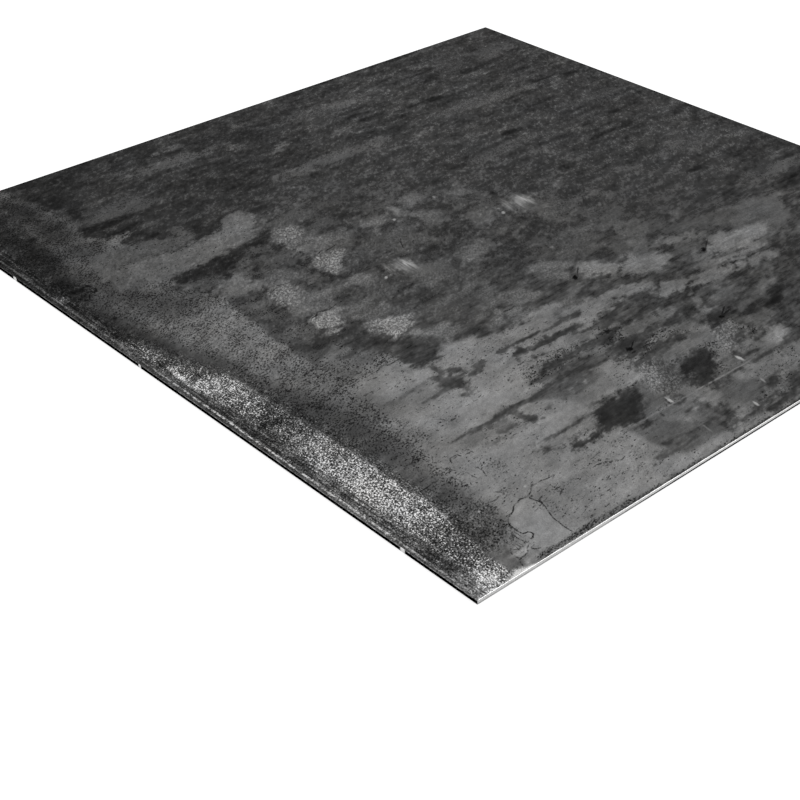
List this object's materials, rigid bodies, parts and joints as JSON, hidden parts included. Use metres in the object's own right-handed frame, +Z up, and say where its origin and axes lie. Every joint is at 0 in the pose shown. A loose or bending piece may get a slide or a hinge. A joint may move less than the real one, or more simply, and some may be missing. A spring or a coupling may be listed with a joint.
{
  "type": "steel plate",
  "caption": "Flat square piece of thin hot-rolled steel plate with near-sharp corners, sheared edges and dark mill scale on both faces.",
  "frame": {"origin": "centre of the underside, which lies flat on the floor at z = 0", "axes": "+Z up through the thickness; +X along the rolling direction, +Y across it"},
  "size_m": [0.6096, 0.6096, 0.0032],
  "materials": {
    "mill_scale_steel": "hot-rolled, blue-grey mill scale, bare sheared edges"
  },
  "bodies": {
    "root": {"steel_plate": "mill_scale_steel"}
  },
  "joints": []
}
